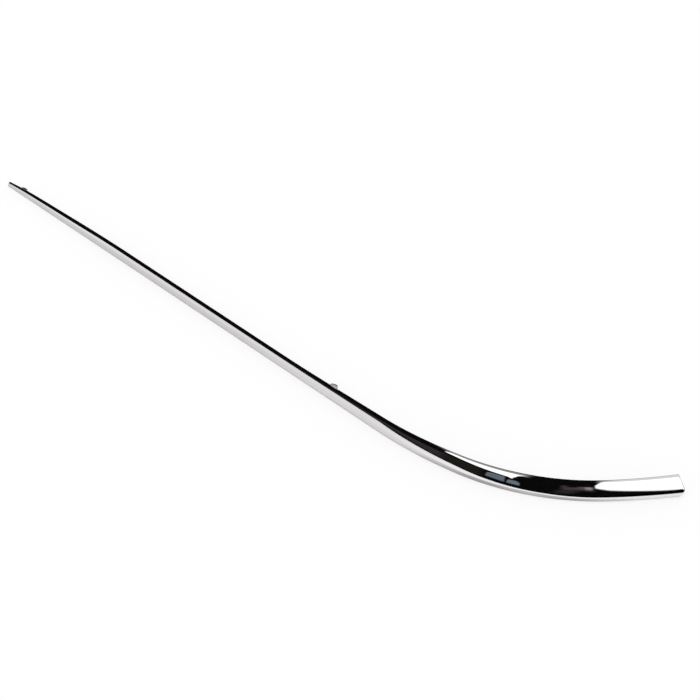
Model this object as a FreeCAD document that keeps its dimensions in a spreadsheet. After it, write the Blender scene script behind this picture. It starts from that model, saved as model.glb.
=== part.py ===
import FreeCAD, Part
import math
import os

import Sketcher

V = FreeCAD.Vector

# Chrome bumper trim: one moulded strip, open at the back, standing on its lower edge.
# A straight run goes from the thin tip at -X to the origin, where the strip starts to
# bend towards +Y round the corner of the bumper. The outer face looks towards -Y.
# The path of the strip runs in the underside. All sizes are in millimetres and degrees.
# Places on the run are distances from the tip, and depths start at the front of the face.
SIZES = {
    # plan of the strip
    "run_length": 634.0,
    "lead_radius": 433.0,
    "lead_angle": 12.3,
    "corner_radius": 225.0,
    "corner_angle": 37.0,
    "tail_radius": 558.0,
    "tail_angle": 7.2,
    # heights of the strip and where they are reached
    "tip_height": 5.5,
    "nose_place": 37.0,
    "nose_height": 7.9,
    "neck_place": 103.0,
    "neck_height": 9.8,
    "run_start_place": 226.0,
    "run_middle_place": 359.0,
    "run_end_place": 492.0,
    "run_height": 12.2,
    "bend_height": 14.4,
    "corner_in_height": 16.8,
    "corner_out_height": 18.5,
    "end_height": 19.8,
    # form of the section, its tilts measured from the vertical; the shoulder is lower on the run
    "face_setback": 3.0,
    "band_share": 0.23,
    "shoulder_share": 0.22,
    "run_shoulder_share": 0.17,
    "under_tilt": 35.0,
    "lower_tilt": 19.7,
    "upper_tilt": 24.0,
    "top_tilt": 78.0,
    # rounded tip
    "tip_round": 4.0,
    "tip_round_lift": 1.0,
    "tip_under_round": 1.2,
    "tip_cut": 3.0,
    # wide end, which leans back above its nose and is undercut below it
    "end_nose_rise": 6.2,
    "end_nose_radius": 2.0,
    "end_slant": 23.0,
    "end_undercut": 42.0,
    "end_cut": 30.0,
    # hollow back
    "wall": 2.0,
    "end_wall": 3.0,
    "web_share": 0.35,
    "web_margin": 1.0,
    "hollow_reach": 14.0,
    # cross ribs of the hollow
    "rib_thickness": 1.4,
    "rib_share": 0.46,
    "rib_root": 0.6,
    # snap hooks that stand back from the hollow
    "hook_first": 190.0,
    "hook_pitch": 120.0,
    "hook_width": 10.0,
    "hook_thickness": 1.8,
    "hook_rise": 3.2,
    "hook_root": 1.8,
    "hook_reach": 12.0,
    "bend_hook_reach": 15.5,
    "bend_hook_a_angle": 9.0,
    "bend_hook_b_angle": 30.0,
    "hook_barb": 1.2,
    "hook_barb_length": 3.0,
    # locating pins
    "pin_radius": 1.8,
    "pin_reach": 11.2,
    "pin_rise": 3.6,
    "pin_collar_radius": 2.7,
    "pin_collar_reach": 7.0,
    "pin_a_place": 250.0,
    "pin_b_place": 520.0,
    # tabs that stand up behind the top edge and are lower on the side of the tip
    "tab_width": 9.6,
    "tab_thickness": 1.6,
    "tab_crown_radius": 18.0,
    "tip_tab_place": 30.6,
    "tip_tab_back": 3.6,
    "tip_tab_foot": 4.0,
    "tip_tab_low_top": 8.1,
    "tip_tab_high_top": 8.7,
    "tip_tab_lean": 22.0,
    "run_tab_place": 565.6,
    "run_tab_back": 7.0,
    "run_tab_foot": 10.3,
    "run_tab_low_top": 13.9,
    "run_tab_high_top": 16.7,
    "run_tab_lean": 4.0,
}
HOOKS_ON_RUN = 4


class Measure:
    """A size worked out from the sheet: its value now, and the expression that follows the sheet."""

    def __init__(self, value, text=None):
        self.value = value
        self.text = text or str(value)

    def __add__(self, other):
        other = measure(other)
        return Measure(self.value + other.value, "(%s + %s)" % (self.text, other.text))

    def __sub__(self, other):
        other = measure(other)
        return Measure(self.value - other.value, "(%s - %s)" % (self.text, other.text))

    def __mul__(self, other):
        other = measure(other)
        return Measure(self.value * other.value, "(%s * %s)" % (self.text, other.text))

    def __truediv__(self, other):
        other = measure(other)
        return Measure(self.value / other.value, "(%s / %s)" % (self.text, other.text))

    def __rsub__(self, other):
        return measure(other) - self


def measure(value):
    return value if isinstance(value, Measure) else Measure(value)


def size(name):
    return Measure(SIZES[name], "Sizes." + name)


def cosine(angle):
    return Measure(math.cos(math.radians(angle.value)), "cos(%s * 1 deg)" % angle.text)


def sine(angle):
    return Measure(math.sin(math.radians(angle.value)), "sin(%s * 1 deg)" % angle.text)


def tangent(angle):
    return Measure(math.tan(math.radians(angle.value)), "tan(%s * 1 deg)" % angle.text)


ZERO = Measure(0)
DEGREES = Measure(180 / math.pi, "180 / pi")


def make_sheet(doc):
    sheet = doc.addObject("Spreadsheet::Sheet", "Sizes")
    for row, (name, value) in enumerate(SIZES.items(), start=1):
        sheet.set("A%d" % row, name)
        sheet.set("B%d" % row, str(value))
        sheet.setAlias("B%d" % row, name)
    return sheet


class Place:
    """A place on the path of the strip and the way the path heads there."""

    def __init__(self, along, across, heading):
        self.along = along
        self.across = across
        self.heading = heading


def run_place(distance):
    """A place on the straight run, by its distance from the tip."""
    return Place(distance - size("run_length"), ZERO, ZERO)


def arc_place(start, radius, angle):
    """The place reached from another one along an arc that turns to the left."""
    heading = start.heading + angle
    along = start.along + radius * (sine(heading) - sine(start.heading))
    across = start.across + radius * (cosine(start.heading) - cosine(heading))
    return Place(along, across, heading)


BEND = run_place(size("run_length"))
LEAD_END = arc_place(BEND, size("lead_radius"), size("lead_angle"))
CORNER_END = arc_place(LEAD_END, size("corner_radius"), size("corner_angle"))
TAIL_END = arc_place(CORNER_END, size("tail_radius"), size("tail_angle"))

# where the height of the strip is given, between the tip and the wide end
STATIONS = (
    ("nose", run_place(size("nose_place")), size("nose_height")),
    ("neck", run_place(size("neck_place")), size("neck_height")),
    ("run_start", run_place(size("run_start_place")), size("run_height")),
    ("run_middle", run_place(size("run_middle_place")), size("run_height")),
    ("run_end", run_place(size("run_end_place")), size("run_height")),
    ("bend", BEND, size("bend_height")),
    ("corner_in", LEAD_END, size("corner_in_height")),
    ("corner_out", CORNER_END, size("corner_out_height")),
)


def attached_sketch(body, name, plane):
    sketch = body.newObject("Sketcher::SketchObject", name)
    support = [item for item in body.Origin.OriginFeatures if item.Role == plane][0]
    sketch.AttachmentSupport = [(support, "")]
    sketch.MapMode = "FlatFace"
    return sketch


def section_sketch(body, name, place, shift=ZERO):
    """A sketch across the path: X is the depth behind the front of the face, and Y points up."""
    sketch = attached_sketch(body, name, "YZ_Plane")
    along = place.along + size("face_setback") * sine(place.heading) + shift * cosine(place.heading)
    across = place.across - size("face_setback") * cosine(place.heading) + shift * sine(place.heading)
    turn_sketch(sketch, place.heading, V(0, 1, 0))
    sketch.setExpression("AttachmentOffset.Base.x", across.text)
    sketch.setExpression("AttachmentOffset.Base.z", along.text)
    return sketch


def run_sketch(body, name, depth):
    """A sketch along the straight run at some depth: X is the row's X, and Y points up."""
    sketch = attached_sketch(body, name, "XZ_Plane")
    sketch.setExpression("AttachmentOffset.Base.z", (size("face_setback") - depth).text)
    return sketch


def turn_sketch(sketch, angle, axis):
    sketch.AttachmentOffset = FreeCAD.Placement(V(0, 0, 0), FreeCAD.Rotation(axis, 1))
    sketch.setExpression("AttachmentOffset.Rotation.Angle", angle.text + " * 1 deg")


def bind(sketch, kind, where, length):
    """A constraint of a sketch that follows the sheet."""
    index = sketch.addConstraint(Sketcher.Constraint(kind, *where, length.value))
    sketch.setExpression("Constraints[%d]" % index, length.text)


def fix_point(sketch, geometry, end, corner):
    """Hold one end of an edge at a stated place, by distances that are never negative."""
    for kind, distance in zip(("DistanceX", "DistanceY"), corner):
        if distance.value < 0:
            bind(sketch, kind, (geometry, end, -1, 1), 0 - distance)
        else:
            bind(sketch, kind, (-1, 1, geometry, end), distance)


def left_arc(start, end, radius):
    """The shorter arc of that radius from start to end that turns to the left."""
    chord = end - start
    rise = math.sqrt(radius ** 2 - (chord.Length / 2) ** 2)
    centre = start + chord / 2 + V(-chord.y, chord.x, 0) * (rise / chord.Length)
    angles = [math.atan2(point.y - centre.y, point.x - centre.x) for point in (start, end)]
    return Part.ArcOfCircle(Part.Circle(centre, V(0, 0, 1), radius), *angles)


def outline(sketch, edges, closed=True):
    """Edges, each given by the corner where it starts and, if it is an arc, by its radius."""
    base = sketch.GeometryCount
    count = len(edges) if closed else len(edges) - 1
    points = [V(corner[0].value, corner[1].value, 0) for corner, radius in edges]
    for step in range(count):
        start, end, radius = points[step], points[(step + 1) % len(points)], edges[step][1]
        edge = left_arc(start, end, radius.value) if radius else Part.LineSegment(start, end)
        sketch.addGeometry(edge, False)
    for step in range(count if closed else count - 1):
        following = (step + 1) % count
        sketch.addConstraint(Sketcher.Constraint("Coincident", base + step, 2, base + following, 1))
    for step in range(count):
        corner, radius = edges[step]
        fix_point(sketch, base + step, 1, corner)
        if radius:
            bind(sketch, "Radius", (base + step,), radius)
    if not closed:
        fix_point(sketch, base + count - 1, 2, edges[count][0])


def polygon(sketch, corners):
    outline(sketch, [(corner, None) for corner in corners])


def path_sketch(body, name, run, tail_angle):
    """The line of the strip in plan: a run before the bend, two arcs and part of the tail."""
    sketch = attached_sketch(body, name, "XY_Plane")
    tail = arc_place(CORNER_END, size("tail_radius"), tail_angle)
    outline(sketch, [((0 - run, ZERO), None),
                     ((BEND.along, BEND.across), size("lead_radius")),
                     ((LEAD_END.along, LEAD_END.across), size("corner_radius")),
                     ((CORNER_END.along, CORNER_END.across), size("tail_radius")),
                     ((tail.along, tail.across), None)], closed=False)
    return sketch


def skin_section(body, name, place, height):
    """The closed outer form: shoulder, face, rolled band, flat underside and flat back."""
    sketch = section_sketch(body, name, place)
    under, lower, upper, top = (size(key) for key in ("under_tilt", "lower_tilt", "upper_tilt", "top_tilt"))
    shoulder_share = size("run_shoulder_share" if "run" in name else "shoulder_share")
    band_top = size("band_share") * height
    face_top = (1 - shoulder_share) * height
    band = band_top / (sine(lower) + sine(under))
    face = (face_top - band_top) / (sine(upper) - sine(lower))
    shoulder = (height - face_top) / (sine(top) - sine(upper))
    front = band * (1 - cosine(under))
    face_low = band * (1 - cosine(lower))
    face_high = face_low + face * (cosine(lower) - cosine(upper))
    back = face_high + shoulder * (cosine(upper) - cosine(top))
    outline(sketch, [((back, height), shoulder), ((face_high, face_top), face), ((face_low, band_top), band),
                     ((front, ZERO), None), ((back, ZERO), None)])
    return sketch


def channel_corners(height, reach, root):
    """The corners of the open channel behind the web, grown into its walls by a root."""
    floor = size("wall") - root
    roof = height - size("wall") + root
    web_top = size("web_share") * height + size("web_margin") - root
    return [(reach, floor), (reach, roof), (web_top, roof), (floor, floor)]


def sweep(body, kind, name, spine, sections):
    feature = body.newObject(kind, name)
    feature.Profile = sections[0]
    feature.Spine = (spine, [""])
    feature.Sections = sections[1:]
    feature.Transformation = "Multisection"
    feature.Mode = "Frenet"
    return feature


def pad(body, name, sketch, length, backwards=False):
    feature = body.newObject("PartDesign::Pad", name)
    feature.Profile = sketch
    feature.Reversed = backwards
    feature.setExpression("Length", length.text)
    return feature


def cut_through(body, name, sketch):
    feature = body.newObject("PartDesign::Pocket", name)
    feature.Profile = sketch
    feature.Type = "ThroughAll"
    feature.Midplane = True
    return feature


def make_strip(body):
    """The solid outer form of the strip, from the tip to the wide end."""
    path = path_sketch(body, "SkinPath", size("run_length"), size("tail_angle"))
    stations = (("tip", run_place(ZERO), size("tip_height")),) + STATIONS
    stations += (("end", TAIL_END, size("end_height")),)
    sections = [skin_section(body, "Skin_" + name, place, height) for name, place, height in stations]
    body.Document.recompute()
    sweep(body, "PartDesign::AdditivePipe", "Strip", path, sections)
    body.Document.recompute()


def make_hollow(body):
    """The open back, which leaves a floor, a web, a top flange and a wall at each end."""
    slant_run = (size("end_height") - size("end_nose_rise")) * tangent(size("end_slant"))
    end_run = size("end_wall") + slant_run
    tail_angle = size("tail_angle") - end_run / size("tail_radius") * DEGREES
    end = arc_place(CORNER_END, size("tail_radius"), tail_angle)
    path = path_sketch(body, "HollowPath", size("run_length") - size("nose_place"), tail_angle)
    sections = []
    for name, place, height in STATIONS + (("end", end, size("end_height")),):
        section = section_sketch(body, "Hollow_" + name, place)
        polygon(section, channel_corners(height, size("hollow_reach"), ZERO))
        sections.append(section)
    body.Document.recompute()
    sweep(body, "PartDesign::SubtractivePipe", "Hollow", path, sections)
    body.Document.recompute()


def make_ribs(body):
    """Thin ribs that cross the hollow and stop short of its back edge."""
    for name, place, height in STATIONS[1:]:
        sketch = section_sketch(body, "RibOutline_" + name, place, 0 - size("rib_thickness") / 2)
        polygon(sketch, channel_corners(height, size("rib_share") * height, size("rib_root")))
        pad(body, "Rib_" + name, sketch, size("rib_thickness"))


def make_tip_round(body):
    """Round the blunt tip, widely above and slightly below."""
    sketch = run_sketch(body, "TipOutline", ZERO)
    tip, beyond = ZERO - size("run_length"), ZERO - size("run_length") - size("tip_cut")
    radius = size("tip_round")
    high = size("tip_height") + size("tip_round_lift")
    above = high + size("tip_cut")
    outline(sketch, [((tip, high - radius), None), ((beyond, high - radius), None), ((beyond, above), None),
                     ((tip + radius, above), None), ((tip + radius, high), radius)])
    radius = size("tip_under_round")
    below = 0 - size("tip_cut")
    outline(sketch, [((tip + radius, ZERO), None), ((tip + radius, below), None), ((beyond, below), None),
                     ((beyond, radius), None), ((tip, radius), radius)])
    cut_through(body, "TipRound", sketch)


def make_end_form(body):
    """Cut the wide end to its nose: it leans back above the nose and is undercut below."""
    sketch = attached_sketch(body, "EndOutline", "XZ_Plane")
    turn_sketch(sketch, TAIL_END.heading, V(0, 1, 0))
    sketch.setExpression("AttachmentOffset.Base.x", TAIL_END.along.text)
    sketch.setExpression("AttachmentOffset.Base.z", (0 - TAIL_END.across).text)
    slant, under = size("end_slant"), size("end_undercut")
    nose, radius, cut = size("end_nose_rise"), size("end_nose_radius"), size("end_cut")
    top, bottom = nose + cut, nose - cut
    reach = radius * tangent((slant + under) / 2)
    high_touch = (0 - reach * sine(slant), nose + reach * cosine(slant))
    low_touch = (0 - reach * sine(under), nose - reach * cosine(under))
    outline(sketch, [(high_touch, None), ((0 - cut * tangent(slant), top), None), ((cut, top), None),
                     ((cut, bottom), None), ((0 - cut * tangent(under), bottom), None), (low_touch, radius)])
    cut_through(body, "EndForm", sketch)


def hook_sketch(body, name, place, reach):
    """The side of a snap hook, with its barb on the upper side."""
    sketch = section_sketch(body, name, place, 0 - size("hook_width") / 2)
    root, low, thickness = size("hook_root"), size("hook_rise"), size("hook_thickness")
    high = low + thickness
    catch = reach - size("hook_barb_length")
    polygon(sketch, [(root, low), (reach, low), (reach, low + thickness / 2),
                     (catch, high + size("hook_barb")), (catch, high), (root, high)])
    return sketch


def make_hooks(body):
    """Snap hooks: a row on the run and two longer ones on the bend."""
    sketch = hook_sketch(body, "HookOutline", run_place(size("hook_first")), size("hook_reach"))
    first = pad(body, "Hook", sketch, size("hook_width"))
    body.Document.recompute()
    row = body.newObject("PartDesign::LinearPattern", "HooksOnRun")
    row.Originals = [first]
    axis = [item for item in body.Origin.OriginFeatures if item.Role == "X_Axis"][0]
    row.Direction = (axis, [""])
    row.Occurrences = HOOKS_ON_RUN
    row.setExpression("Length", (size("hook_pitch") * (HOOKS_ON_RUN - 1)).text)
    body.Tip = row
    for name in ("a", "b"):
        place = arc_place(LEAD_END, size("corner_radius"), size("bend_hook_%s_angle" % name))
        sketch = hook_sketch(body, "BendHookOutline_" + name, place, size("bend_hook_reach"))
        pad(body, "BendHook_" + name, sketch, size("hook_width"))


def make_pins(body):
    """Two round locating pins on collars that rise from the web."""
    root = size("hook_root")
    for name in ("a", "b"):
        back = size("run_length") - size("pin_%s_place" % name)
        for part, radius, reach in (("Collar", "pin_collar_radius", "pin_collar_reach"),
                                    ("Pin", "pin_radius", "pin_reach")):
            sketch = run_sketch(body, "%sOutline_%s" % (part, name), root)
            centre = V(-back.value, SIZES["pin_rise"], 0)
            sketch.addGeometry(Part.Circle(centre, V(0, 0, 1), SIZES[radius]), False)
            bind(sketch, "DistanceX", (0, 3, -1, 1), back)
            bind(sketch, "DistanceY", (-1, 1, 0, 3), size("pin_rise"))
            bind(sketch, "Radius", (0,), size(radius))
            pad(body, "%s_%s" % (part, name), sketch, size(reach) - root, backwards=True)


def make_tabs(body):
    """Flat tabs with a slanted, slightly crowned top that lean back behind the top edge."""
    half = size("tab_width") / 2
    for name in ("tip_tab", "run_tab"):
        sketch = run_sketch(body, name + "_outline", size(name + "_back") - size("tab_thickness"))
        lean, foot = size(name + "_lean"), size(name + "_foot")
        turn_sketch(sketch, lean, V(-1, 0, 0))
        sketch.setExpression("AttachmentOffset.Base.y", foot.text)
        middle = size(name + "_place") - size("run_length")
        low, high = ((size(name + side) - foot) / cosine(lean) for side in ("_low_top", "_high_top"))
        outline(sketch, [((middle - half, low), None), ((middle - half, ZERO), None),
                         ((middle + half, ZERO), None), ((middle + half, high), size("tab_crown_radius"))])
        pad(body, name, sketch, size("tab_thickness"), backwards=True)


def make_trim(doc):
    body = doc.addObject("PartDesign::Body", "Trim")
    body.Label = "chrome_trim"
    make_strip(body)
    make_hollow(body)
    make_ribs(body)
    make_tip_round(body)
    make_end_form(body)
    make_hooks(body)
    make_pins(body)
    make_tabs(body)
    doc.recompute()
    return body


def check(doc):
    for item in doc.Objects:
        if "Invalid" in item.State or "Error" in item.State:
            raise RuntimeError("%s failed: %s" % (item.Name, item.State))


doc = FreeCAD.newDocument("bumper_trim")
make_sheet(doc)
doc.recompute()
trim = make_trim(doc)
check(doc)
shape = trim.Shape
if shape.isNull() or not shape.isValid() or len(shape.Solids) != 1:
    raise RuntimeError("the trim is not one valid solid")
os.makedirs("parts", exist_ok=True)
shape.exportStep("parts/chrome_trim.step")
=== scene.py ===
import math

import bmesh
import bpy
import numpy as np
from mathutils import Matrix, Vector


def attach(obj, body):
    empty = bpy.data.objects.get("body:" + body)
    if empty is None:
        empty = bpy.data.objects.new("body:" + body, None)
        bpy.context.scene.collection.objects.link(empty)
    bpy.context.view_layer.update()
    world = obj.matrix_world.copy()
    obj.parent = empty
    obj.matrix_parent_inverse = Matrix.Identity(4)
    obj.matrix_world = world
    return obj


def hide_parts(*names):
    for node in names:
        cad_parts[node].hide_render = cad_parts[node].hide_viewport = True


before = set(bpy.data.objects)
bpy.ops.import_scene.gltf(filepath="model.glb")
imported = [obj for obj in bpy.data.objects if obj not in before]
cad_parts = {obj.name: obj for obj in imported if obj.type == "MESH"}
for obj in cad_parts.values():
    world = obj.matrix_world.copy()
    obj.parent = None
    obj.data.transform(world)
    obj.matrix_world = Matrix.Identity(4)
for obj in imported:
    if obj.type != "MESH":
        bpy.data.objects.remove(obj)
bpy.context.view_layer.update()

# Lengths on the strip are in millimetres until a mesh is made, and places on it are distances
# from its tip. Depths start at the front of the face, and angles are in degrees.
MM = 0.001

# plan of the strip: a straight run, then three arcs given by radius and angle
RUN = 634.0
ARCS = ((433.0, 12.3), (225.0, 37.0), (558.0, 7.2))
ARC_LENGTHS = [radius * math.radians(angle) for radius, angle in ARCS]
LENGTH = RUN + sum(ARC_LENGTHS)
CORNER_START = RUN + ARC_LENGTHS[0]
CORNER_END = CORNER_START + ARC_LENGTHS[1]
FACE_SETBACK = 3.0

# heights of the strip at places along it
NOSE = 37.0
RIB_STATIONS = (103.0, 226.0, 359.0, 492.0, RUN, CORNER_START, CORNER_END)
STATIONS = (0.0, NOSE) + RIB_STATIONS + (LENGTH,)
STATION_HEIGHTS = (5.5, 7.9, 9.8, 12.2, 12.2, 12.2, 14.4, 16.8, 18.5, 19.8)

# section: shares of the height and tilts from the vertical
BAND_SHARE = 0.23
SHOULDER_SHARE, RUN_SHOULDER_SHARE = 0.22, 0.17
RUN_SECTION_SHARES = (0.0, 0.0, 0.0, 1.0, 1.0, 1.0, 0.0, 0.0, 0.0, 0.0)  # at the stations
UNDER_TILT, LOWER_TILT, UPPER_TILT, TOP_TILT = 35.0, 19.7, 24.0, 78.0
FRONT_ROUND = 0.03
BACK_ROUND = 0.02
WALL = 2.0
WEB_SHARE, WEB_MARGIN = 0.35, 1.0

# ends of the strip
TIP_HEIGHT = STATION_HEIGHTS[0]
TIP_ROUND, TIP_ROUND_LIFT, TIP_UNDER_ROUND, TIP_REACH = 4.0, 1.0, 1.2, 12.0
END_HEIGHT = STATION_HEIGHTS[-1]
END_NOSE_RISE, END_NOSE_ROUND, END_SLANT, END_UNDERCUT, END_WALL = 6.2, 0.8, 23.0, 42.0, 3.0
HOLLOW_END = LENGTH - END_WALL - (END_HEIGHT - END_NOSE_RISE) * math.tan(math.radians(END_SLANT))
TIP_EDGE, END_EDGE = 0.4, 0.8

# ribs, hooks and pins of the back
RIB_THICKNESS, RIB_SHARE, RIB_ROOT, RIB_BEVEL = 1.4, 0.46, 0.6, 0.15
HOOK_PLACES = tuple(190.0 + 120.0 * step for step in range(4))
BEND_HOOK_PLACES = tuple(CORNER_START + ARCS[1][0] * math.radians(turn) for turn in (9.0, 30.0))
HOOK_REACH, BEND_HOOK_REACH = 12.0, 15.5
HOOK_WIDTH, HOOK_THICKNESS, HOOK_RISE, HOOK_ROOT = 10.0, 1.8, 3.2, 1.8
HOOK_BARB, HOOK_BARB_LENGTH, HOOK_BEVEL = 1.2, 3.0, 0.2
PIN_PLACES = (250.0, 520.0)
PIN_RISE, PIN_RADIUS, PIN_REACH, PIN_CHAMFER = 3.6, 1.8, 11.2, 0.6
COLLAR_RADIUS, COLLAR_REACH, COLLAR_CHAMFER = 2.7, 7.0, 0.3

# tabs: place, depth of the front at the foot, height of the foot, low top, high top and lean
TAB_WIDTH, TAB_THICKNESS, TAB_CROWN_RADIUS, TAB_BEVEL = 9.6, 1.6, 18.0, 0.25
TABS = ((30.6, 2.0, 4.0, 8.1, 8.7, 22.0), (565.6, 5.4, 10.3, 13.9, 16.7, 4.0))

# fineness of the skin: steps round the section, rings along the strip and rings that round its ends
BAND_STEPS, FACE_STEPS, SHOULDER_STEPS, WEB_POINTS, CORNER_STEPS = 18, 12, 18, 12, 4
TIP_RINGS, RUN_RINGS, END_RINGS = 26, 200, 10
BEND_SPACING = 2.0
TIP_TURNS, END_TURNS = 5, 8
SHIFT_REPEATS = 4
PIN_SIDES = 32
CROWN_POINTS = 13
SAME_PLACE = 1e-7
SHARP_ANGLE = 32.0

# The first material is the plate on the face, and the second the plate behind it. Each is a
# colour, a range of roughness, and the height in metres and the scale of its ripple. Clouds
# leave a share of the colour, and the wipe marks' noise runs over its own range.
BRIGHT, DULL = 0, 1
BRIGHT_PLATE = ((0.86, 0.865, 0.87), (0.015, 0.03), 0.000004, 70.0)
DULL_PLATE = ((0.55, 0.55, 0.55), (0.28, 0.4), 0.00002, 700.0)
CLOUDED_SHARE = 0.97
CLOUD_SCALE, WIPE_SCALE = 60.0, 900.0
CLOUD_DETAIL, WIPE_DETAIL, RIPPLE_DETAIL = 3.0, 2.0, 1.0
WIPE_RANGE = (0.3, 0.8)

# The studio, as directions seen from the strip: azimuth 0 is towards -Y and 90 towards +X.
# Each patch of it is a colour, the width of its soft edge and its corners, each an azimuth and
# an elevation, and a later patch covers an earlier one.
WHITE = (1.0, 1.0, 1.0)
BLACK = (0.0, 0.0, 0.0)
STUDIO_DARK = (0.003, 0.003, 0.003)
LIT = (1.3, 1.3, 1.3)
ROOM = (
    # dim walls
    ((0.032, 0.027, 0.027), 0.05, ((-37, -5), (-14, -5), (-14, 22), (-37, 26))),
    ((0.014, 0.012, 0.010), 0.05, ((-14, -4), (2, -4), (2, 20), (-14, 20))),
    # warm, dim furniture beside the right soft box
    ((0.035, 0.028, 0.030), 0.03, ((35.5, 2), (43.5, 2), (46.5, 4.5), (37.5, 4))),
    ((0.060, 0.048, 0.052), 0.015, ((39.5, 4.5), (46.5, 5), (46.5, 7), (39.5, 6.5))),
    ((0.055, 0.042, 0.045), 0.03, ((38.5, 5), (41, 5.5), (40.5, 12), (39, 12))),
    ((0.110, 0.085, 0.090), 0.03, ((46, 5.5), (52.5, 4.5), (52.5, 8), (46, 8.5))),
    ((0.300, 0.250, 0.250), 0.015, ((49, 5.5), (52, 5), (52, 7.5), (49, 8))),
    # two low windows
    ((0.132, 0.155, 0.190), 0.008, ((4, 2), (13, 2), (13, 6.5), (7, 6.5), (4.5, 5))),
    ((0.155, 0.185, 0.215), 0.008, ((14, 2), (20, 2), (20, 4), (18.5, 5), (16.5, 5), (14.5, 4.5))),
)
SOFT_BOXES = (
    # the left box, with the grey ceiling over it first
    ((0.310, 0.310, 0.310), 0.03, ((-40, 59.5), (17.5, 57), (-18, 80.5), (-109, 80), (-114, 54),
                                   (-69.5, 63.5))),
    (LIT, 0.007, ((-30.5, 48.5), (-25, 46), (4.5, 18), (12.5, 6.5), (16.5, 6.5), (16.5, 27.5),
                  (7, 69), (-58, 62.5), (-37.5, 54))),
    # the right box, with the pale ceiling behind it first
    ((0.760, 0.760, 0.760), 0.03, ((85, 58), (150, 50), (-150, 50), (-153.5, 65), (77.5, 75.5))),
    (LIT, 0.012, ((53.5, 23), (53.5, 5), (66, 2), (80, -3), (102, -6), (102, 59), (87.5, 77.5),
                  (59, 54))),
)

# White table under the strip, in metres. Its front edge is straight on the left and slants away
# on the right, its right edge slants too, and its back edge runs close behind the strip. Its
# tones are places along X with a tone each: painted light across the table far from the strip,
# and painted shade of the strip on the table near it.
TABLE_LEFT, TABLE_FRONT = -0.77, -0.31
TABLE_FRONT_SLANT, TABLE_SLANTED_FRONT = 0.40, -0.46
TABLE_RIGHT_SLANT, TABLE_RIGHT = 0.38, 0.385
TABLE_BACK_SLANT, TABLE_BACK = -0.45, 0.03
TABLE_EDGE, TABLE_BACK_EDGE = 0.03, 0.012
TABLE_TINT = (1.0, 0.97, 0.98)
TABLE_FAR_PAINTED_LIGHT_TONES = ((-0.70, 0.92), (-0.50, 0.84), (-0.10, 0.84), (0.0, 0.92), (0.06, 1.0))
TABLE_NEAR_PAINTED_SHADE_TONES = ((-0.70, 0.70), (-0.25, 0.72), (-0.10, 0.80), (0.04, 0.80), (0.065, 0.66),
                    (0.085, 0.62), (0.11, 0.47), (0.13, 0.50), (0.15, 0.58), (0.165, 0.66),
                    (0.18, 0.54), (0.20, 0.60), (0.217, 0.78), (0.24, 1.0))
# Y places between which the painted shade near the strip fades in
TABLE_FAR_Y, TABLE_NEAR_Y = -0.09, -0.045
FLOOR_SIZE = 60.0
FLOOR_GLOW, FLOOR_GLOW_SEEN = 0.1, 0.7

# camera of the photograph, in metres, from a fit of the strip's outline
CAMERA_AZIMUTH, CAMERA_ELEVATION, CAMERA_DISTANCE = 47.06, 36.0, 1.6861
CAMERA_TARGET = (-0.11544, 0.06884, 0.0)
VIEW_ANGLE = 24.0


def path(s):
    """Place on the path and heading there, at distances s from the tip."""
    s = np.asarray(s, float)
    x = np.minimum(s, RUN) - RUN
    y = np.zeros_like(s)
    heading = np.zeros_like(s)
    before, begin = 0.0, RUN
    for (radius, angle), length in zip(ARCS, ARC_LENGTHS):
        turn = np.clip((s - begin) / radius, 0.0, math.radians(angle))
        x = x + radius * (np.sin(before + turn) - math.sin(before))
        y = y + radius * (math.cos(before) - np.cos(before + turn))
        heading = heading + turn
        before += math.radians(angle)
        begin += length
    return x, y, heading


def smooth_curve(s, value):
    """A smooth curve through values at the stations that never overshoots."""
    place, value = np.array(STATIONS), np.array(value)
    span, slope = np.diff(place), np.diff(value) / np.diff(place)
    rate = np.zeros(len(place))
    rate[0], rate[-1] = slope[0], slope[-1]
    for step in range(1, len(place) - 1):
        if slope[step - 1] * slope[step] > 0:
            first, second = 2 * span[step] + span[step - 1], span[step] + 2 * span[step - 1]
            rate[step] = (first + second) / (first / slope[step - 1] + second / slope[step])
    step = np.clip(np.searchsorted(place, s, side="right") - 1, 0, len(span) - 1)
    t = (s - place[step]) / span[step]
    near = (2 * t ** 3 - 3 * t ** 2 + 1) * value[step] + (t ** 3 - 2 * t ** 2 + t) * span[step] * rate[step]
    far = (3 * t ** 2 - 2 * t ** 3) * value[step + 1] + (t ** 3 - t ** 2) * span[step] * rate[step + 1]
    return near + far


def height(s):
    return smooth_curve(s, STATION_HEIGHTS)


def to_row(s, depth, rise):
    """Points of the row frame, in metres, from a place on the strip, a depth and a height."""
    x, y, heading = path(s)
    out = FACE_SETBACK - depth
    return np.stack([(x + np.sin(heading) * out) * MM, (y - np.cos(heading) * out) * MM,
                     np.broadcast_to(rise, np.shape(x)) * MM], axis=-1)


def rounded(before, corner, after):
    """Points of a short curve that replaces a corner."""
    t = np.linspace(0, 1, CORNER_STEPS + 1)[:, None]
    return (1 - t) ** 2 * before + 2 * t * (1 - t) * corner + t ** 2 * after


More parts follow.
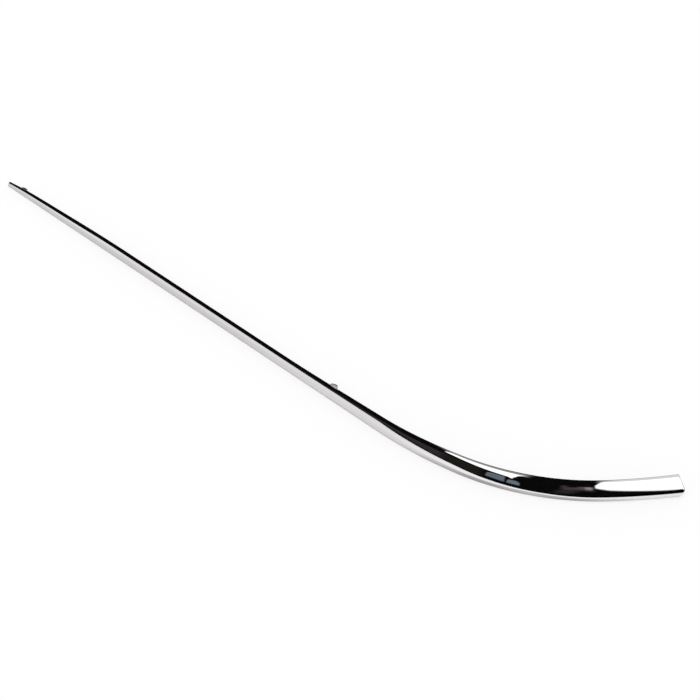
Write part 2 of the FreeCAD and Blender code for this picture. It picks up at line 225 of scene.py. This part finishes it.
def front_outline(shoulder_share):
    """The face from its lower to its upper corner, as shares of the height, and the back's depth."""
    under, lower, upper, top = (math.radians(tilt) for tilt in (UNDER_TILT, LOWER_TILT, UPPER_TILT, TOP_TILT))
    band = BAND_SHARE / (math.sin(lower) + math.sin(under))
    face = (1 - shoulder_share - BAND_SHARE) / (math.sin(upper) - math.sin(lower))
    shoulder = shoulder_share / (math.sin(top) - math.sin(upper))
    foot = point = np.array([band * (1 - math.cos(under)), 0.0])
    arcs = []
    for radius, low, high, start, end, steps in (
            (band, -under, lower, -under + FRONT_ROUND / band, lower, BAND_STEPS),
            (face, lower, upper, lower, upper, FACE_STEPS),
            (shoulder, upper, top, upper, top - FRONT_ROUND / shoulder, SHOULDER_STEPS)):
        centre = point + radius * np.array([math.cos(low), -math.sin(low)])
        tilt = np.linspace(start, end, steps + 1)[:, None]
        arcs.append(centre + radius * np.hstack([-np.cos(tilt), np.sin(tilt)]))
        point = centre + radius * np.array([-math.cos(high), math.sin(high)])
    bottom = rounded(foot + (FRONT_ROUND, 0), foot, arcs[0][0])
    summit = rounded(arcs[2][-1], point, point - (0, BACK_ROUND))
    return np.vstack([bottom[:-1], arcs[0], arcs[1][1:], arcs[2][1:], summit[1:]]), point[0]


def section(shoulder_share):
    """Two tables of the section's points, hollow and solid: depth and height as shares plus lengths.

    The points go up the front and down the back. The solid section has its channel points
    on the back line. The last value is the number of points on the front.
    """
    front, back = front_outline(shoulder_share)
    foot = rounded(np.array([back, BACK_ROUND]), np.array([back, 0.0]), np.array([back - BACK_ROUND, 0.0]))
    share = np.linspace(0, 1, WEB_POINTS)[:, None]
    web = (1 - share) * [WEB_SHARE, 1.0]
    web_lengths = (1 - share) * [WEB_MARGIN, -WALL] + share * [WALL, WALL]
    line = (1 - share) * [back, 1.0] + share * [back, 0.0]
    line_lengths = (1 - share) * [0.0, -WALL] + share * [0.0, WALL]
    shares, lengths = [], []
    for middle, middle_lengths in ((web, web_lengths), (line, line_lengths)):
        shares.append(np.vstack([front, [[back, 1.0]], middle, [[back, 0.0]], foot]))
        lengths.append(np.vstack([0 * front, [[0.0, -WALL]], middle_lengths, [[0.0, WALL]], 0 * foot]))
    return shares, lengths, len(front)


def tip_shift(rise):
    """How far the rounded tip lies behind its foremost line at some height."""
    over = np.clip(rise - (TIP_HEIGHT + TIP_ROUND_LIFT - TIP_ROUND), 0, TIP_ROUND)
    below = np.clip(TIP_UNDER_ROUND - rise, 0, TIP_UNDER_ROUND)
    return (TIP_ROUND - np.sqrt(TIP_ROUND ** 2 - over ** 2)
            + TIP_UNDER_ROUND - np.sqrt(TIP_UNDER_ROUND ** 2 - below ** 2))


def end_shift(rise):
    """How far the wide end lies behind its nose at some height."""
    lean = np.maximum((rise - END_NOSE_RISE) * math.tan(math.radians(END_SLANT)),
                      (END_NOSE_RISE - rise) * math.tan(math.radians(END_UNDERCUT)))
    return np.sqrt(lean ** 2 + END_NOSE_ROUND ** 2) - END_NOSE_ROUND / 2


def rounding(edge, turns):
    """Rings that round an end, from the end inwards: how far from it, and how far drawn in."""
    return [(edge * (1 - math.sin(turn)), edge * (1 - math.cos(turn)))
            for turn in np.radians(np.linspace(90, 0, turns))]


def ring_plan():
    """Each ring of the skin: its place, how far it is drawn in, and whether it is hollow."""
    bend_rings = int((HOLLOW_END - RUN) / BEND_SPACING)
    rings = [(away, inset, False) for away, inset in rounding(TIP_EDGE, TIP_TURNS)]
    rings += [(s, 0.0, False) for s in np.linspace(TIP_EDGE, NOSE, TIP_RINGS)[1:]]
    rings += [(s, 0.0, True) for s in np.linspace(NOSE, RUN, RUN_RINGS)]
    rings += [(s, 0.0, True) for s in np.linspace(RUN, HOLLOW_END, bend_rings)[1:]]
    rings += [(s, 0.0, False) for s in np.linspace(HOLLOW_END, LENGTH - END_EDGE, END_RINGS)]
    rings += [(LENGTH - away, inset, False) for away, inset in rounding(END_EDGE, END_TURNS)[-2::-1]]
    return rings


def drawn_in(depth, rise, inset):
    """Rings moved inwards across their outline, and less where it turns tightly."""
    tight_share, shortest = 0.7, 1e-6
    points = np.stack([depth, rise], axis=-1)
    chord = np.roll(points, -1, axis=1) - np.roll(points, 1, axis=1)
    length = np.maximum(np.linalg.norm(chord, axis=-1), shortest)
    heading = np.unwrap(np.arctan2(chord[..., 1], chord[..., 0]), axis=1)
    bend = np.roll(heading, 1, axis=1) - np.roll(heading, -1, axis=1)
    bend = (bend + math.pi) % (2 * math.pi) - math.pi
    inset = np.minimum(inset, tight_share * length / np.maximum(bend, shortest))
    return depth + chord[..., 1] / length * inset, rise - chord[..., 0] / length * inset


def cap(bm, ring, rises, front_count):
    """Close an end with triangles between the front and the back, from low to high."""
    front = list(range(front_count))
    back = list(range(len(ring) - 1, front_count - 1, -1))
    i = j = 0
    while i < len(front) - 1 or j < len(back) - 1:
        take_front = j == len(back) - 1 or (i < len(front) - 1 and rises[front[i + 1]] <= rises[back[j + 1]])
        if take_front:
            corners = (front[i], front[i + 1], back[j])
            i += 1
        else:
            corners = (front[i], back[j + 1], back[j])
            j += 1
        if len({ring[corner] for corner in corners}) == 3:
            bm.faces.new([ring[corner] for corner in corners]).material_index = BRIGHT


def strip_points():
    """The skin's points, ring by ring, with their heights and the number on the front."""
    shares, lengths, front_count = section(SHOULDER_SHARE)
    run_shares = section(RUN_SHOULDER_SHARE)[0]
    places, insets, hollow = (np.array(column)[:, None] for column in zip(*ring_plan()))
    share, run_share = (np.where(hollow[..., None], *both) for both in (shares, run_shares))
    length = np.where(hollow[..., None], *lengths)
    base = places * np.ones(share.shape[1])
    share = share + (run_share - share) * smooth_curve(base, RUN_SECTION_SHARES)[..., None]
    tip_weight = np.clip(1 - base / TIP_REACH, 0, 1)
    end_weight = np.clip((base - HOLLOW_END) / (LENGTH - HOLLOW_END), 0, 1)
    # the ends' shift depends on the height and the height on the place, so they settle in turns
    s = base
    for repeat in range(SHIFT_REPEATS):
        tall = height(s)
        rise = share[..., 1] * tall + length[..., 1]
        s = base + tip_weight * tip_shift(rise) - end_weight * end_shift(rise)
    depth = share[..., 0] * tall + length[..., 0]
    depth, rise = drawn_in(depth, rise, insets)
    return to_row(s, depth, rise), rise, front_count


def strip_mesh():
    """The whole moulding without its fittings, as one closed skin of rings."""
    points, rise, front_count = strip_points()
    count = points.shape[1]
    bm = bmesh.new()
    rings = [[bm.verts.new(point) for point in ring] for ring in points]
    for near, far in zip(rings, rings[1:]):
        for step in range(count):
            onward = (step + 1) % count
            quad = bm.faces.new((near[step], near[onward], far[onward], far[step]))
            on_front = step < front_count - 1 or step == count - 1
            quad.material_index = BRIGHT if on_front else DULL
    cap(bm, rings[0], rise[0], front_count)
    cap(bm, rings[-1], rise[-1], front_count)
    bmesh.ops.remove_doubles(bm, verts=bm.verts, dist=SAME_PLACE)
    bmesh.ops.dissolve_degenerate(bm, edges=bm.edges, dist=SAME_PLACE)
    bmesh.ops.recalc_face_normals(bm, faces=bm.faces)
    return finished_mesh(bm, "strip")


def finished_mesh(bm, name):
    mesh = bpy.data.meshes.new(name)
    bm.to_mesh(mesh)
    bm.free()
    return mesh


def prism(bm, near, far, bevel):
    """A closed block between two outlines with as many corners, its edges slightly rounded."""
    smooth_edge = math.radians(30)
    near = [bm.verts.new(point) for point in near]
    far = [bm.verts.new(point) for point in far]
    faces = [bm.faces.new(near), bm.faces.new(far)]
    for step in range(len(near)):
        onward = (step + 1) % len(near)
        faces.append(bm.faces.new((near[step], near[onward], far[onward], far[step])))
    bmesh.ops.recalc_face_normals(bm, faces=faces)
    edges = list({edge for face in faces for edge in face.edges if edge.calc_face_angle(0) > smooth_edge})
    bmesh.ops.bevel(bm, geom=edges, offset=bevel * MM, segments=2, profile=0.5, affect="EDGES")


def cross_block(bm, place, thickness, corners, bevel):
    """A block with its outline across the path and its thickness along it."""
    depth, rise = np.array(corners).T
    heading = path(place)[2]
    along = np.array([math.cos(heading), math.sin(heading), 0.0]) * thickness / 2 * MM
    outline = to_row(np.full(len(depth), place), depth, rise)
    prism(bm, outline - along, outline + along, bevel)


def add_ribs(bm):
    for place in RIB_STATIONS:
        tall = float(height(place))
        floor, roof = WALL - RIB_ROOT, tall - WALL + RIB_ROOT
        web_top = WEB_SHARE * tall + WEB_MARGIN - RIB_ROOT
        reach = RIB_SHARE * tall
        corners = [(reach, floor), (reach, roof), (web_top, roof), (floor, floor)]
        cross_block(bm, place, RIB_THICKNESS, corners, RIB_BEVEL)


def add_hooks(bm):
    high = HOOK_RISE + HOOK_THICKNESS
    for places, reach in ((HOOK_PLACES, HOOK_REACH), (BEND_HOOK_PLACES, BEND_HOOK_REACH)):
        catch = reach - HOOK_BARB_LENGTH
        corners = [(HOOK_ROOT, HOOK_RISE), (reach, HOOK_RISE), (reach, HOOK_RISE + HOOK_THICKNESS / 2),
                   (catch, high + HOOK_BARB), (catch, high), (HOOK_ROOT, high)]
        for place in places:
            cross_block(bm, place, HOOK_WIDTH, corners, HOOK_BEVEL)


def add_pins(bm):
    """Turned pins: a collar, then a shank with a chamfered end."""
    profile = ((COLLAR_RADIUS, HOOK_ROOT), (COLLAR_RADIUS, COLLAR_REACH - COLLAR_CHAMFER),
               (COLLAR_RADIUS - COLLAR_CHAMFER, COLLAR_REACH), (PIN_RADIUS, COLLAR_REACH),
               (PIN_RADIUS, PIN_REACH - PIN_CHAMFER), (PIN_RADIUS - PIN_CHAMFER, PIN_REACH))
    turn = np.linspace(0, 2 * math.pi, PIN_SIDES, endpoint=False)
    for place in PIN_PLACES:
        rings = []
        for radius, depth in profile:
            points = to_row(place + radius * np.cos(turn), depth, PIN_RISE + radius * np.sin(turn))
            rings.append([bm.verts.new(point) for point in points])
        faces = [bm.faces.new(rings[0]), bm.faces.new(rings[-1])]
        for near, far in zip(rings, rings[1:]):
            for step in range(PIN_SIDES):
                onward = (step + 1) % PIN_SIDES
                faces.append(bm.faces.new((near[step], near[onward], far[onward], far[step])))
        bmesh.ops.recalc_face_normals(bm, faces=faces)


def add_tabs(bm):
    """Flat tabs with a slanted, slightly crowned top that lean back behind the top edge."""
    half_width = TAB_WIDTH / 2
    for place, front, foot, low, high, lean in TABS:
        lean = math.radians(lean)
        low, high = (low - foot) / math.cos(lean), (high - foot) / math.cos(lean)
        middle, half_chord = (low + high) / 2, math.hypot(TAB_WIDTH, high - low) / 2
        slope, half_turn = math.atan2(high - low, TAB_WIDTH), math.asin(half_chord / TAB_CROWN_RADIUS)
        turn = np.linspace(-half_turn, half_turn, CROWN_POINTS)
        sway, bulge = TAB_CROWN_RADIUS * np.sin(turn), TAB_CROWN_RADIUS * (np.cos(turn) - math.cos(half_turn))
        crown = sway * math.cos(slope) - bulge * math.sin(slope)
        across = place + np.append(crown, [half_width, -half_width])
        rise = np.append(middle + sway * math.sin(slope) + bulge * math.cos(slope), [0.0, 0.0])
        near, far = (to_row(across, front + rise * math.sin(lean) + thick * math.cos(lean),
                            foot + rise * math.cos(lean) - thick * math.sin(lean))
                     for thick in (0.0, TAB_THICKNESS))
        prism(bm, near, far, TAB_BEVEL)


def fittings_mesh():
    bm = bmesh.new()
    add_ribs(bm)
    add_hooks(bm)
    add_pins(bm)
    add_tabs(bm)
    for face in bm.faces:
        face.material_index = DULL
    return finished_mesh(bm, "fittings")


def new_object(name, data):
    piece = bpy.data.objects.new(name, data)
    bpy.context.scene.collection.objects.link(piece)
    return piece


def make_trim(materials):
    """The strip and its fittings fused into one skin."""
    trim = new_object("chrome_trim_skin", strip_mesh())
    fittings = new_object("fittings", fittings_mesh())
    for piece in (trim, fittings):
        for material in materials:
            piece.data.materials.append(material)
    union = trim.modifiers.new("Union", "BOOLEAN")
    union.operation = "UNION"
    union.solver = "EXACT"
    union.object = fittings
    bpy.context.view_layer.update()
    fused = bpy.data.meshes.new_from_object(trim.evaluated_get(bpy.context.evaluated_depsgraph_get()))
    trim.modifiers.clear()
    trim.data = fused
    bpy.data.objects.remove(fittings)
    fused.shade_smooth()
    fused.set_sharp_from_angle(angle=math.radians(SHARP_ANGLE))
    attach(trim, "root")
    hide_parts("chrome_trim")


def node(tree, kind, **settings):
    """A shader node, its settings given by name, and its inputs by name after in_."""
    made = tree.nodes.new(kind)
    for key, value in settings.items():
        if key.startswith("in_"):
            made.inputs[key[3:].replace("_", " ")].default_value = value
        else:
            setattr(made, key, value)
    return made


def math_node(tree, operation, first, second):
    """The outcome of an operation on two values, each a socket or a number."""
    made = node(tree, "ShaderNodeMath", operation=operation)
    for inlet, value in zip(made.inputs, (first, second)):
        if isinstance(value, bpy.types.NodeSocket):
            tree.links.new(value, inlet)
        else:
            inlet.default_value = value
    return made.outputs[0]


def map_range(tree, value, low, high, out_low, out_high, kind="LINEAR"):
    ramp = node(tree, "ShaderNodeMapRange", interpolation_type=kind, clamp=True,
                in_From_Min=low, in_From_Max=high, in_To_Min=out_low, in_To_Max=out_high)
    tree.links.new(value, ramp.inputs["Value"])
    return ramp.outputs["Result"]


def smooth_step(tree, value, low, high):
    """Zero below low and one above high, or the other way round where low is the larger."""
    if low > high:
        return map_range(tree, value, high, low, 1.0, 0.0, "SMOOTHSTEP")
    return map_range(tree, value, low, high, 0.0, 1.0, "SMOOTHSTEP")


def noise(tree, vector, scale, detail):
    made = node(tree, "ShaderNodeTexNoise", in_Scale=scale, in_Detail=detail)
    tree.links.new(vector, made.inputs["Vector"])
    return made.outputs["Fac"]


def colour_mix(tree, factor, first, second):
    """From the first colour to the second, each a socket or three numbers."""
    mix = node(tree, "ShaderNodeMix", data_type="RGBA")
    tree.links.new(factor, mix.inputs["Factor"])
    for name, colour in (("A", first), ("B", second)):
        if isinstance(colour, bpy.types.NodeSocket):
            tree.links.new(colour, mix.inputs[name])
        else:
            mix.inputs[name].default_value = (*colour, 1)
    return mix.outputs["Result"]


def ray_is(tree, kind):
    return tree.nodes.new("ShaderNodeLightPath").outputs["Is %s Ray" % kind]


def plated_material(name, colour, rough, ripple, ripple_scale):
    """Chrome plate over moulded plastic: faint ripple, fine wipe marks and a slight clouding."""
    material = bpy.data.materials.new(name)
    material.use_nodes = True
    tree = material.node_tree
    shader = tree.nodes["Principled BSDF"]
    shader.inputs["Metallic"].default_value = 1.0
    place = tree.nodes.new("ShaderNodeTexCoord").outputs["Object"]
    clouded = [channel * CLOUDED_SHARE for channel in colour]
    tint = colour_mix(tree, noise(tree, place, CLOUD_SCALE, CLOUD_DETAIL), clouded, colour)
    tree.links.new(tint, shader.inputs["Base Color"])
    wipes = noise(tree, place, WIPE_SCALE, WIPE_DETAIL)
    tree.links.new(map_range(tree, wipes, *WIPE_RANGE, *rough), shader.inputs["Roughness"])
    bump = node(tree, "ShaderNodeBump", in_Strength=1.0, in_Distance=ripple)
    tree.links.new(noise(tree, place, ripple_scale, RIPPLE_DETAIL), bump.inputs["Height"])
    tree.links.new(bump.outputs["Normal"], shader.inputs["Normal"])
    return material


def direction(azimuth, elevation):
    a, e = math.radians(azimuth), math.radians(elevation)
    return Vector((math.sin(a) * math.cos(e), -math.cos(a) * math.cos(e), math.sin(e)))


def patch(tree, ray, soft, corners):
    """One inside the corners of a patch of the surroundings and zero outside."""
    corners = [direction(*corner) for corner in corners]
    middle = sum(corners, Vector())
    mask = None
    for first, second in zip(corners, corners[1:] + corners[:1]):
        inward = first.cross(second).normalized()
        if inward.dot(middle) < 0:
            inward.negate()
        side = node(tree, "ShaderNodeVectorMath", operation="DOT_PRODUCT")
        tree.links.new(ray, side.inputs[0])
        side.inputs[1].default_value = inward
        edge = smooth_step(tree, side.outputs["Value"], -soft, soft)
        mask = math_node(tree, "MULTIPLY", mask, edge) if mask else edge
    return mask


def make_world():
    """Plain white surroundings. In reflections: a dark studio with soft boxes round a white table."""
    world = bpy.data.worlds.new("studio")
    bpy.context.scene.world = world
    world.use_nodes = True
    tree = world.node_tree
    background = tree.nodes["Background"]
    ray = tree.nodes.new("ShaderNodeTexCoord").outputs["Generated"]
    studio = STUDIO_DARK
    for colour, soft, corners in ROOM + SOFT_BOXES:
        studio = colour_mix(tree, patch(tree, ray, soft, corners), studio, colour)
    seen = colour_mix(tree, ray_is(tree, "Glossy"), WHITE, studio)
    tree.links.new(seen, background.inputs["Color"])
    background.inputs["Strength"].default_value = 1.0


def painted_tone_ramp(tree, value, painted_light_shade_tones):
    """Painted light and shade of the table between places along a value, each with its tone."""
    low, high = painted_light_shade_tones[0][0], painted_light_shade_tones[-1][0]
    ramp = tree.nodes.new("ShaderNodeValToRGB")
    tree.links.new(map_range(tree, value, low, high, 0.0, 1.0), ramp.inputs["Fac"])
    elements = ramp.color_ramp.elements
    elements.remove(elements[1])
    for spot, (place, tone) in enumerate(painted_light_shade_tones):
        element = elements.new((place - low) / (high - low)) if spot else elements[0]
        element.color = (*[tone * channel for channel in TABLE_TINT], 1)
    return ramp.outputs["Color"]


def slanted(tree, first, slant, second):
    """The first coordinate plus a share of the second."""
    return math_node(tree, "ADD", first, math_node(tree, "MULTIPLY", second, slant))


def table_top(tree, x, y):
    """One on the table and zero beside it."""
    back = slanted(tree, y, TABLE_BACK_SLANT, math_node(tree, "MAXIMUM", x, 0.0))
    slanted_front = smooth_step(tree, slanted(tree, y, TABLE_FRONT_SLANT, x),
                                TABLE_SLANTED_FRONT - TABLE_EDGE, TABLE_SLANTED_FRONT + TABLE_EDGE)
    front = smooth_step(tree, y, TABLE_FRONT - TABLE_EDGE, TABLE_FRONT + TABLE_EDGE)
    inside = math_node(tree, "MAXIMUM", front, slanted_front)
    for value, edge, soft in ((x, TABLE_LEFT, -TABLE_EDGE),
                              (slanted(tree, x, TABLE_RIGHT_SLANT, y), TABLE_RIGHT, TABLE_EDGE),
                              (back, TABLE_BACK, TABLE_BACK_EDGE)):
        inside = math_node(tree, "MULTIPLY", inside, smooth_step(tree, value, edge + soft, edge - soft))
    return inside


def floor_material():
    """White that keeps a soft contact shadow. In reflections it is a white table top with painted light on it
    and painted shade of the strip near its foot.
    """
    material = bpy.data.materials.new("floor_white_painted_shade")
    material.use_nodes = True
    tree = material.node_tree
    output = tree.nodes["Material Output"]
    tree.nodes.remove(tree.nodes["Principled BSDF"])
    place = tree.nodes.new("ShaderNodeTexCoord").outputs["Object"]
    parts = tree.nodes.new("ShaderNodeSeparateXYZ")
    tree.links.new(place, parts.inputs[0])
    x, y = parts.outputs["X"], parts.outputs["Y"]
    # painted shade of the strip on the table near its foot, seen only in reflections
    near = smooth_step(tree, y, TABLE_FAR_Y, TABLE_NEAR_Y)
    painted_light_shade_tones = colour_mix(tree, near, painted_tone_ramp(tree, x, TABLE_FAR_PAINTED_LIGHT_TONES), painted_tone_ramp(tree, x, TABLE_NEAR_PAINTED_SHADE_TONES))
    painted_table = colour_mix(tree, table_top(tree, x, y), BLACK, painted_light_shade_tones)
    colour = colour_mix(tree, ray_is(tree, "Glossy"), WHITE, painted_table)
    diffuse = node(tree, "ShaderNodeBsdfDiffuse")
    glow = node(tree, "ShaderNodeEmission")
    tree.links.new(colour, diffuse.inputs["Color"])
    tree.links.new(colour, glow.inputs["Color"])
    mix = node(tree, "ShaderNodeMixShader")
    glowing = map_range(tree, ray_is(tree, "Camera"), 0.0, 1.0, FLOOR_GLOW, FLOOR_GLOW_SEEN)
    for source, inlet in zip((glowing, diffuse.outputs[0], glow.outputs[0]), mix.inputs):
        tree.links.new(source, inlet)
    tree.links.new(mix.outputs[0], output.inputs["Surface"])
    return material


def make_floor():
    half = FLOOR_SIZE / 2
    mesh = bpy.data.meshes.new("floor")
    mesh.from_pydata([(-half, -half, 0), (half, -half, 0), (half, half, 0), (-half, half, 0)],
                     [], [(0, 1, 2, 3)])
    mesh.materials.append(floor_material())
    new_object("floor", mesh)


def make_camera():
    back = direction(CAMERA_AZIMUTH, CAMERA_ELEVATION)
    right = Vector((0.0, 0.0, 1.0)).cross(back).normalized()
    data = bpy.data.cameras.new("camera")
    data.sensor_fit = "HORIZONTAL"
    data.angle = math.radians(VIEW_ANGLE)
    camera = new_object("camera", data)
    turn = Matrix((right, back.cross(right), back)).transposed().to_4x4()
    camera.matrix_world = Matrix.Translation(Vector(CAMERA_TARGET) + back * CAMERA_DISTANCE) @ turn
    bpy.context.scene.camera = camera


bpy.context.scene.view_settings.view_transform = "Standard"
make_camera()
make_world()
make_floor()
make_trim((plated_material("chrome_bright", *BRIGHT_PLATE), plated_material("chrome_dull", *DULL_PLATE)))
